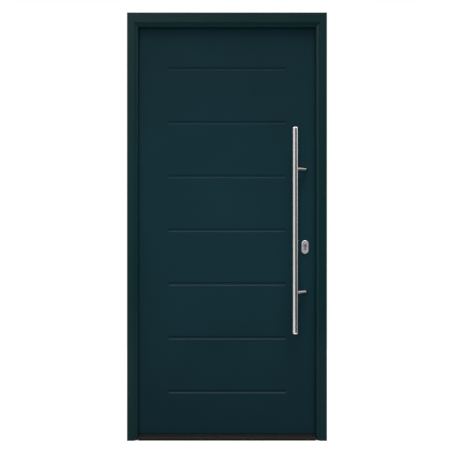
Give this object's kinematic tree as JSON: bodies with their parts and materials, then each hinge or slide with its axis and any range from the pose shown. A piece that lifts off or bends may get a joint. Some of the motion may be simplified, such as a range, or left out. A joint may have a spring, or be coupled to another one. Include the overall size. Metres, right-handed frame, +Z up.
{
  "type": "panelled front door with frame",
  "caption": "Dark front door leaf with pressed horizontal grooves and a tall pull bar, hinged in a thermally broken frame with a low threshold, bevelled lip, lever and multipoint lock.",
  "frame": {"origin": "on the floor under the threshold, in the middle of the frame's width and depth", "axes": "+X from the hinges to the lock, +Y from the street to the room, +Z up"},
  "size_m": [0.98, 0.182, 2.1],
  "materials": {
    "frame_paint": "fine satin powder coat, dark green-blue",
    "leaf_paint": "fine satin powder coat, dark blue-green",
    "insulating_plastic": "glass-filled black plastic",
    "threshold_metal": "dark bronze anodised",
    "cast_aluminium": "as cast",
    "seal_rubber": "matte black",
    "timber": "sawn laminated softwood",
    "foam": "rigid foam, pale yellow",
    "hinge_steel": "satin silver",
    "zinc_steel": "bright zinc plated",
    "bolt_steel": "ground steel",
    "cylinder_nickel": "satin nickel",
    "rose_steel": "satin stainless, bevelled rim",
    "stainless_satin": "brushed along its length",
    "post_steel": "dark, close to the leaf's colour"
  },
  "bodies": {
    "frame": {"hinge_jamb_outer": "frame_paint", "hinge_jamb_inner": "frame_paint", "lock_jamb_outer": "frame_paint", "lock_jamb_inner": "frame_paint", "head_outer": "frame_paint", "head_inner": "frame_paint", "insulating_bars": "insulating_plastic", "corner_cleats": "cast_aluminium", "threshold_outer": "threshold_metal", "threshold_insulator": "insulating_plastic", "threshold_inner": "threshold_metal", "lip_seal": "seal_rubber", "rebate_seal": "seal_rubber", "keep_main": "zinc_steel", "keep_lower": "zinc_steel", "keep_upper": "zinc_steel", "hinge_frame_parts": "hinge_steel"},
    "leaf": {"leaf_outer_skin": "leaf_paint", "leaf_inner_skin": "leaf_paint", "bottom_seal": "seal_rubber", "hinge_stile": "timber", "lock_stile": "timber", "top_rail": "timber", "bottom_rail": "timber", "leaf_core": "foam", "hinge_leaf_parts": "hinge_steel", "lock_forend": "zinc_steel", "lock_case": "zinc_steel", "hook_case_lower": "zinc_steel", "hook_case_upper": "zinc_steel", "cylinder_body": "cylinder_nickel", "outer_rose": "rose_steel", "pull_bar": "stainless_satin", "pull_bar_caps": "stainless_satin", "inner_plate": "stainless_satin", "pull_bar_posts": "post_steel"},
    "lever": {"lever_handle": "stainless_satin", "spindle": "zinc_steel", "lock_follower": "zinc_steel"},
    "latch": {"latch_bolt": "bolt_steel"},
    "drive": {"drive_rod": "zinc_steel"},
    "bolt": {"deadbolt": "bolt_steel"},
    "lower_hook": {"hook_lower": "bolt_steel"},
    "upper_hook": {"hook_upper": "bolt_steel"},
    "key_cylinder": {"cylinder_plug_outer": "cylinder_nickel", "cylinder_plug_inner": "cylinder_nickel", "cylinder_cam": "cylinder_nickel"}
  },
  "joints": [
    {"name": "leaf_swing", "type": "hinge", "parent": "frame", "child": "leaf", "pos_m": [-0.466, 0.05, 0], "axis": [0, 0, 1], "range_deg": [0, 110]},
    {"name": "lever_turn", "type": "hinge", "parent": "leaf", "child": "lever", "pos_m": [0.387, 0.046, 1.049], "axis": [0, -1, 0], "range_deg": [0, 35], "stiffness_Nm_per_rad": 2, "springref_deg": -28.65},
    {"name": "latch_slide", "type": "slide", "parent": "leaf", "child": "latch", "axis": [-1, 0, 0], "range_m": [0, 0.0121]},
    {"name": "lock_throw", "type": "slide", "parent": "leaf", "child": "drive", "axis": [0, 0, 1], "range_m": [0, 0.02]},
    {"name": "deadbolt_slide", "type": "slide", "parent": "leaf", "child": "bolt", "axis": [1, 0, 0], "range_m": [0, 0.0201]},
    {"name": "lower_hook_swing", "type": "hinge", "parent": "leaf", "child": "lower_hook", "pos_m": [0.432, 0.0065, 0.33], "axis": [0, 1, 0], "range_deg": [0, 90.5]},
    {"name": "upper_hook_swing", "type": "hinge", "parent": "leaf", "child": "upper_hook", "pos_m": [0.432, 0.0065, 1.69], "axis": [0, 1, 0], "range_deg": [0, 90.5]},
    {"name": "key_turn", "type": "hinge", "parent": "leaf", "child": "key_cylinder", "pos_m": [0.387, 0, 0.957], "axis": [0, -1, 0], "range_deg": [0, 361]}
  ],
  "couplings": [
    {"joint": "latch_slide", "follows": "lever_turn", "m_per_rad": 0.019644},
    {"joint": "deadbolt_slide", "follows": "lock_throw", "ratio": 1},
    {"joint": "lower_hook_swing", "follows": "lock_throw", "rad_per_m": 78.54},
    {"joint": "upper_hook_swing", "follows": "lock_throw", "rad_per_m": 78.54},
    {"joint": "key_turn", "follows": "lock_throw", "rad_per_m": 314.16}
  ]
}
